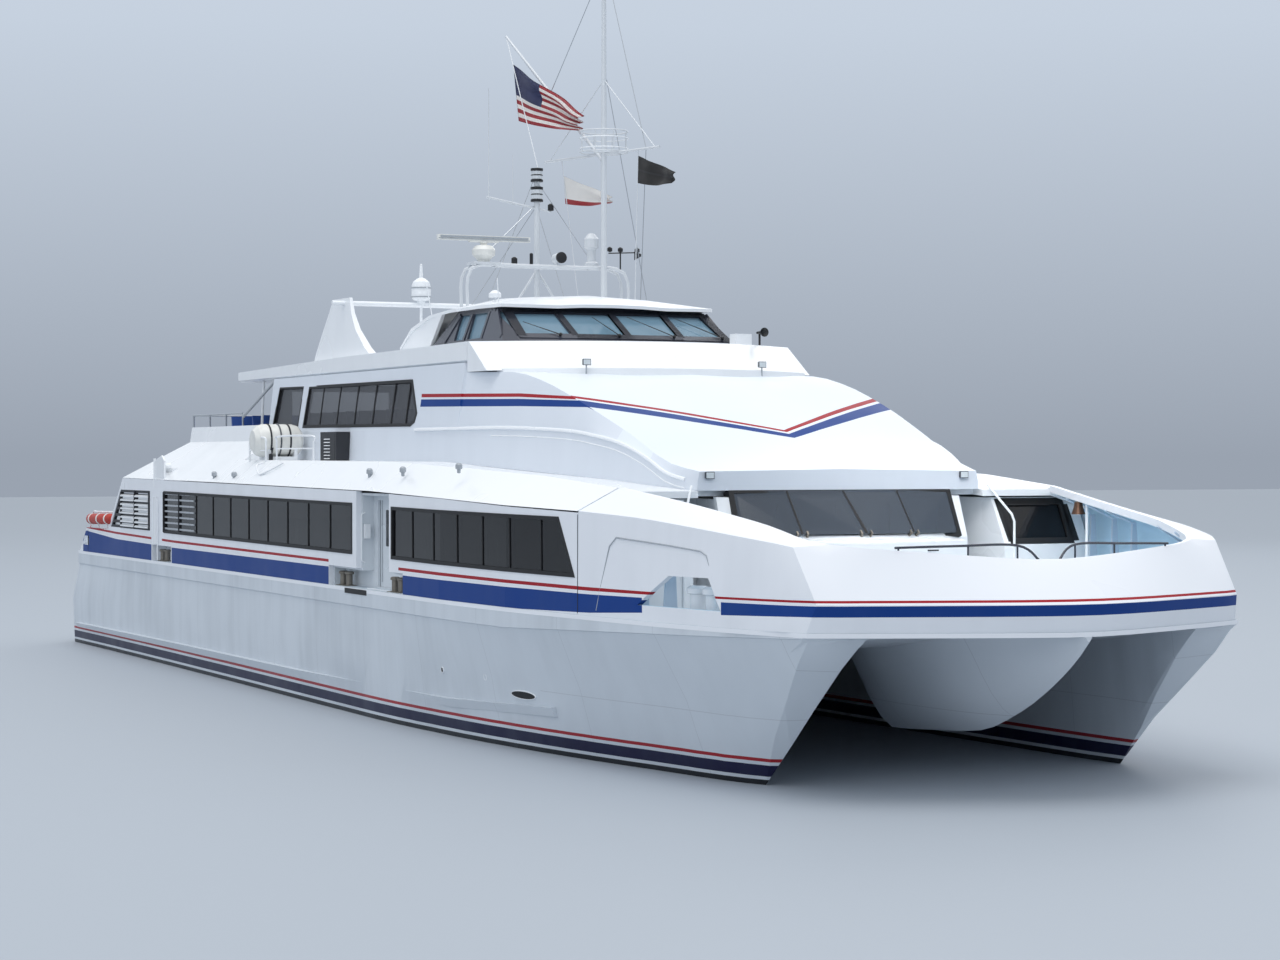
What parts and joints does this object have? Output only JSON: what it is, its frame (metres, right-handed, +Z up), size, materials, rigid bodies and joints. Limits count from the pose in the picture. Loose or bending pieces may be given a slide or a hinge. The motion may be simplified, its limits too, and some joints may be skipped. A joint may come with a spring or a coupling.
{
  "type": "passenger ferry, 1:2 scale model",
  "caption": "Fast catamaran passenger ferry with two slender hulls, enclosed cabins on two decks, a raked wheelhouse, masts and water jets.",
  "frame": {"origin": "on the centre line at the waterline, near midships", "axes": "+X towards the bow, +Y to port, +Z up"},
  "size_m": [21.9538, 6.013, 9.35],
  "materials": {
    "hull_paint": "gloss marine enamel, white",
    "deck_paint": "matt non-slip deck paint, pale grey",
    "house_paint": "gloss marine enamel, white",
    "recess_paint": "satin paint, mid grey",
    "tinted_glass": "dark tinted safety glass, glossy",
    "louvre_metal": "dark powder coat, matt",
    "wheelhouse_frame": "satin black paint",
    "rail_metal": "satin",
    "mast_paint": "gloss enamel, white",
    "radar_shell": "gloss, white",
    "raft_shell": "gloss moulded shell, white",
    "jet_metal": "bare machined metal, dull",
    "ensign_cloth": "woven flag cloth, red, white and blue",
    "after_flag_cloth": "woven flag cloth, white with a red band",
    "forward_flag_cloth": "woven flag cloth, near black"
  },
  "bodies": {
    "ship": {"hull_port": "hull_paint", "hull_starboard": "hull_paint", "bridge_and_centre_bow": "hull_paint", "aft_side_wall_port": "hull_paint", "aft_side_wall_starboard": "hull_paint", "forward_side_wall_port": "hull_paint", "forward_side_wall_starboard": "hull_paint", "foredeck_bulwark": "hull_paint", "main_deck": "deck_paint", "door_recess_port": "recess_paint", "door_recess_starboard": "recess_paint", "aft_side_glass_port": "tinted_glass", "aft_side_glass_starboard": "tinted_glass", "forward_side_glass_port": "tinted_glass", "forward_side_glass_starboard": "tinted_glass", "cabin_front_glass": "tinted_glass", "upper_side_glass_port": "tinted_glass", "upper_side_glass_starboard": "tinted_glass", "wheelhouse_glass": "tinted_glass", "side_louvres_port": "louvre_metal", "side_louvres_starboard": "louvre_metal", "cabin_front_wall": "house_paint", "cabin_after_wall": "house_paint", "main_cabin_roof": "house_paint", "upper_deck_casing": "house_paint", "upper_cabin": "house_paint", "forward_hood": "house_paint", "foredeck_wing_wall_port": "house_paint", "foredeck_wing_wall_starboard": "house_paint", "upper_after_wall": "house_paint", "canopy": "house_paint", "wheelhouse_brow": "house_paint", "wheelhouse_roof": "house_paint", "after_mast": "house_paint", "wheelhouse_walls": "wheelhouse_frame", "upper_deck_rail": "rail_metal", "radar_arch": "mast_paint", "main_mast": "mast_paint", "radar_pedestal": "radar_shell", "liferaft_port": "raft_shell", "liferaft_starboard": "raft_shell", "jet_housing_port": "jet_metal", "jet_housing_starboard": "jet_metal", "ensign": "ensign_cloth", "after_signal_flag": "after_flag_cloth", "forward_signal_flag": "forward_flag_cloth"},
    "boarding_door_port": {"boarding_door_port": "recess_paint"},
    "foredeck_door_port": {"foredeck_door_port": "house_paint"},
    "jet_nozzle_port": {"jet_nozzle_port": "jet_metal"},
    "jet_bucket_port": {"jet_bucket_port": "jet_metal"},
    "boarding_door_starboard": {"boarding_door_starboard": "recess_paint"},
    "foredeck_door_starboard": {"foredeck_door_starboard": "house_paint"},
    "jet_nozzle_starboard": {"jet_nozzle_starboard": "jet_metal"},
    "jet_bucket_starboard": {"jet_bucket_starboard": "jet_metal"},
    "cabin_after_door": {"cabin_after_door": "house_paint"},
    "upper_after_door": {"upper_after_door": "house_paint"},
    "radar_scanner": {"radar_scanner": "radar_shell"}
  },
  "joints": [
    {"name": "boarding_door_slide_port", "type": "slide", "parent": "ship", "child": "boarding_door_port", "axis": [-1, 0, 0], "range_m": [0, 0.775]},
    {"name": "boarding_door_slide_starboard", "type": "slide", "parent": "ship", "child": "boarding_door_starboard", "axis": [-1, 0, 0], "range_m": [0, 0.775]},
    {"name": "foredeck_door_hinge_port", "type": "hinge", "parent": "ship", "child": "foredeck_door_port", "pos_m": [6.671, 1.5, 1.8], "axis": [0, 0, 1], "range_deg": [0, 85]},
    {"name": "foredeck_door_hinge_starboard", "type": "hinge", "parent": "ship", "child": "foredeck_door_starboard", "pos_m": [6.671, -1.5, 1.8], "axis": [0, 0, -1], "range_deg": [0, 85]},
    {"name": "cabin_after_door_hinge", "type": "hinge", "parent": "ship", "child": "cabin_after_door", "pos_m": [-5.131, 0.265, 1.85], "axis": [0, 0, -1], "range_deg": [0, 100]},
    {"name": "upper_after_door_hinge", "type": "hinge", "parent": "ship", "child": "upper_after_door", "pos_m": [-3.806, 0.265, 3.15], "axis": [0, 0, -1], "range_deg": [0, 100]},
    {"name": "radar_scanner_turn", "type": "hinge", "parent": "ship", "child": "radar_scanner", "pos_m": [0.405, -0.765, 5.15], "axis": [0, 0, 1], "continuous": true},
    {"name": "jet_steering_port", "type": "hinge", "parent": "ship", "child": "jet_nozzle_port", "pos_m": [-10.425, 2.2, 0.075], "axis": [0, 0, 1], "range_deg": [-27, 27]},
    {"name": "jet_bucket_tilt_port", "type": "hinge", "parent": "jet_nozzle_port", "child": "jet_bucket_port", "pos_m": [-10.55, 2.2, 0.075], "axis": [0, -1, 0], "range_deg": [0, 60]},
    {"name": "jet_steering_starboard", "type": "hinge", "parent": "ship", "child": "jet_nozzle_starboard", "pos_m": [-10.425, -2.2, 0.075], "axis": [0, 0, 1], "range_deg": [-27, 27]},
    {"name": "jet_bucket_tilt_starboard", "type": "hinge", "parent": "jet_nozzle_starboard", "child": "jet_bucket_starboard", "pos_m": [-10.55, -2.2, 0.075], "axis": [0, -1, 0], "range_deg": [0, 60]}
  ]
}
